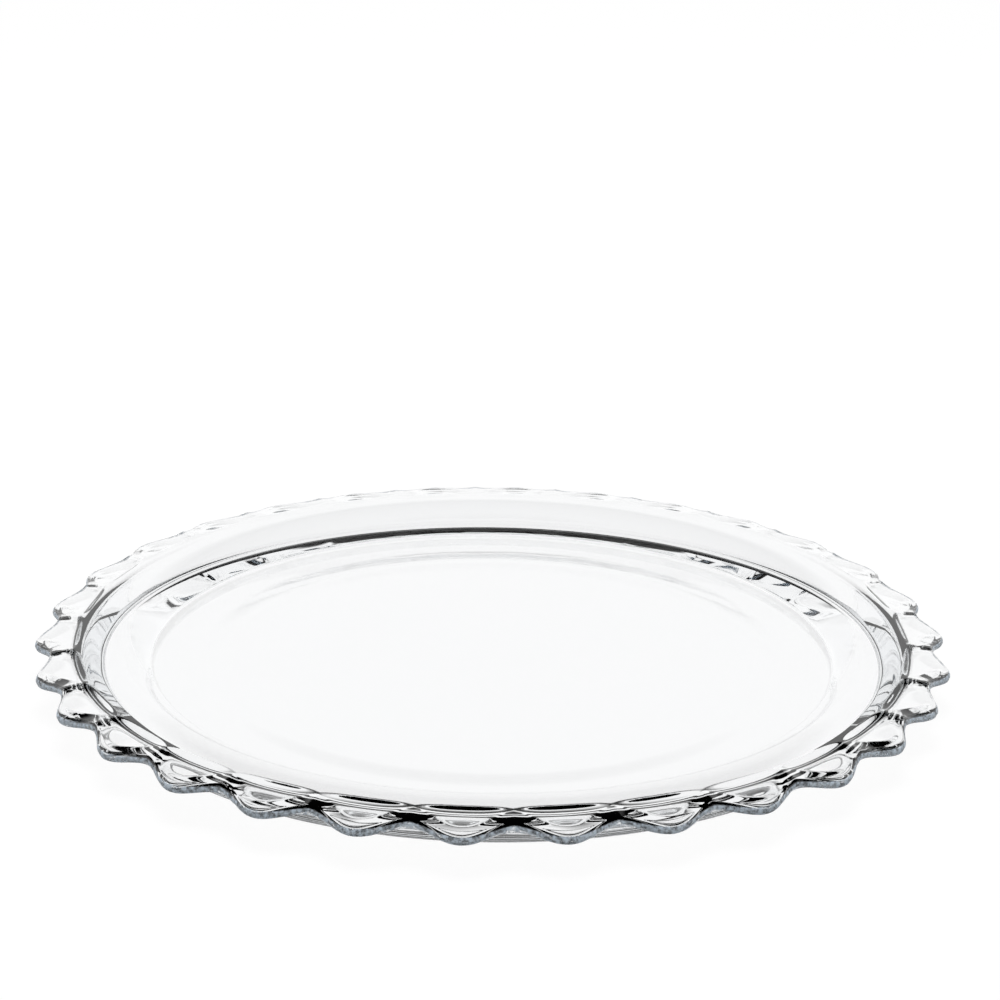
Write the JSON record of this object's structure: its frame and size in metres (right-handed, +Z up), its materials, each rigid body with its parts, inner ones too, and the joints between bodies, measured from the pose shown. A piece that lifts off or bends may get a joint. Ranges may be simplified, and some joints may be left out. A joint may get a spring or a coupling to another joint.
{
  "type": "pastry plate",
  "caption": "Round clear glass pastry plate with a flat well, a short sloping wall and a scalloped rim of scooped petals on a low flat base.",
  "frame": {"origin": "on the table under the middle of the base", "axes": "+Z up along the plate's axis, +Y away from the viewer of the picture, +X to the right"},
  "size_m": [0.3216, 0.3216, 0.0162],
  "materials": {
    "clear_glass": "clear, fire-polished pressed glass"
  },
  "bodies": {
    "root": {"glass_plate": "clear_glass"}
  },
  "joints": []
}
